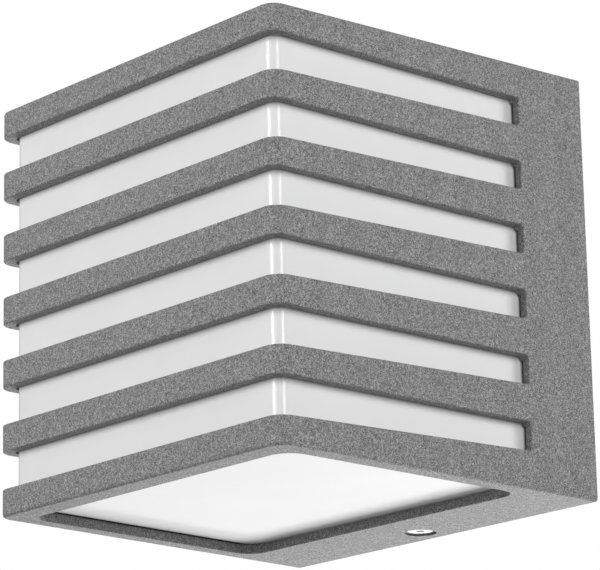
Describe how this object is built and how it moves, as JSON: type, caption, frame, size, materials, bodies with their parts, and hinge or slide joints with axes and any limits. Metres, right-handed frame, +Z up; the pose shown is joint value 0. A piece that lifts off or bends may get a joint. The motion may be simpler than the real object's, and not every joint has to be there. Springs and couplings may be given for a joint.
{
  "type": "outdoor wall lantern",
  "caption": "Cube-shaped outdoor wall lantern: louvred cast housing that pulls off a steel wall plate, opal tub behind the bars, screw-in lamp inside.",
  "frame": {"origin": "on the wall plane, on the lantern's centre line, at the middle height of its front face", "axes": "+Y into the wall, +Z up, +X to the right as a person facing the wall sees it"},
  "size_m": [0.16, 0.146, 0.1561],
  "materials": {
    "powder_coat": "die-cast aluminium with a fine textured, speckled grey powder coat",
    "opal_plastic": "satin opal, slightly translucent",
    "foam": "closed-cell foam",
    "stainless_steel": "bright turned stainless steel",
    "zinc_steel": "zinc plated, faintly crystalline",
    "white_silicone": "white silicone, matt",
    "rubber": "matt moulded rubber",
    "white_plastic": "fine moulded texture",
    "brass": "drawn brass",
    "aluminium_rivet": "satin",
    "porcelain_plastic": "heat resistant moulding, satin",
    "lead_brown": "extruded silicone",
    "lead_blue": "extruded silicone",
    "lead_green": "extruded silicone, green with a yellow stripe",
    "tinned_copper": "tinned, soft sheen",
    "bulb_opal": "satin opal",
    "nickel": "nickel plated, drawn",
    "black_glass": "black vitrite",
    "white_board": "white solder resist",
    "led_phosphor": "yellow phosphor"
  },
  "bodies": {
    "wall_unit": {"wall_plate": "zinc_steel", "wall_gasket": "foam", "cable_grommet": "rubber", "terminal_block": "white_plastic", "terminal_inserts": "brass", "terminal_screws": "zinc_steel", "terminal_fixing_screw": "zinc_steel", "holder_bracket": "zinc_steel", "bracket_rivets": "aluminium_rivet", "holder_body": "porcelain_plastic", "holder_rear_cover": "porcelain_plastic", "holder_screws": "zinc_steel", "screw_shell": "brass", "centre_contact": "brass", "live_lead": "lead_brown", "neutral_lead": "lead_blue", "earth_lead": "lead_green", "ring_terminal": "tinned_copper", "earth_washer": "zinc_steel", "earth_screw": "brass"},
    "housing": {"louvre_housing": "powder_coat", "diffuser": "opal_plastic", "diffuser_seal": "white_silicone", "diffuser_screws": "stainless_steel"},
    "retaining_screw": {"retaining_screw": "stainless_steel"},
    "clamp_bar": {"clamp_bar": "zinc_steel"},
    "bulb_contact": {"bulb_tip": "tinned_copper"},
    "bulb": {"bulb_globe": "bulb_opal", "bulb_body": "white_plastic", "bulb_cap": "nickel", "bulb_insulator": "black_glass", "led_board": "white_board", "led_chips": "led_phosphor"}
  },
  "joints": [
    {"name": "housing_pull", "type": "slide", "parent": "wall_unit", "child": "housing", "axis": [0, -1, 0], "range_m": [0, 0.16]},
    {"name": "retaining_screw_turn", "type": "hinge", "parent": "housing", "child": "retaining_screw", "pos_m": [0, -0.0107, -0.07], "axis": [0, 0, -1], "range_deg": [0, 1080]},
    {"name": "clamp_bar_lift", "type": "slide", "parent": "housing", "child": "clamp_bar", "axis": [0, 0, 1], "range_m": [0, 0.0024]},
    {"name": "bulb_travel", "type": "slide", "parent": "wall_unit", "child": "bulb_contact", "axis": [0, -1, 0], "range_m": [0, 0.01452]},
    {"name": "bulb_turn", "type": "hinge", "parent": "bulb_contact", "child": "bulb", "pos_m": [0, -0.07, 0], "axis": [0, -1, 0], "range_deg": [0, 1440]}
  ],
  "couplings": [
    {"joint": "retaining_screw_turn", "follows": "clamp_bar_lift", "rad_per_m": 7854},
    {"joint": "bulb_turn", "follows": "bulb_travel", "rad_per_m": 1731.4}
  ]
}
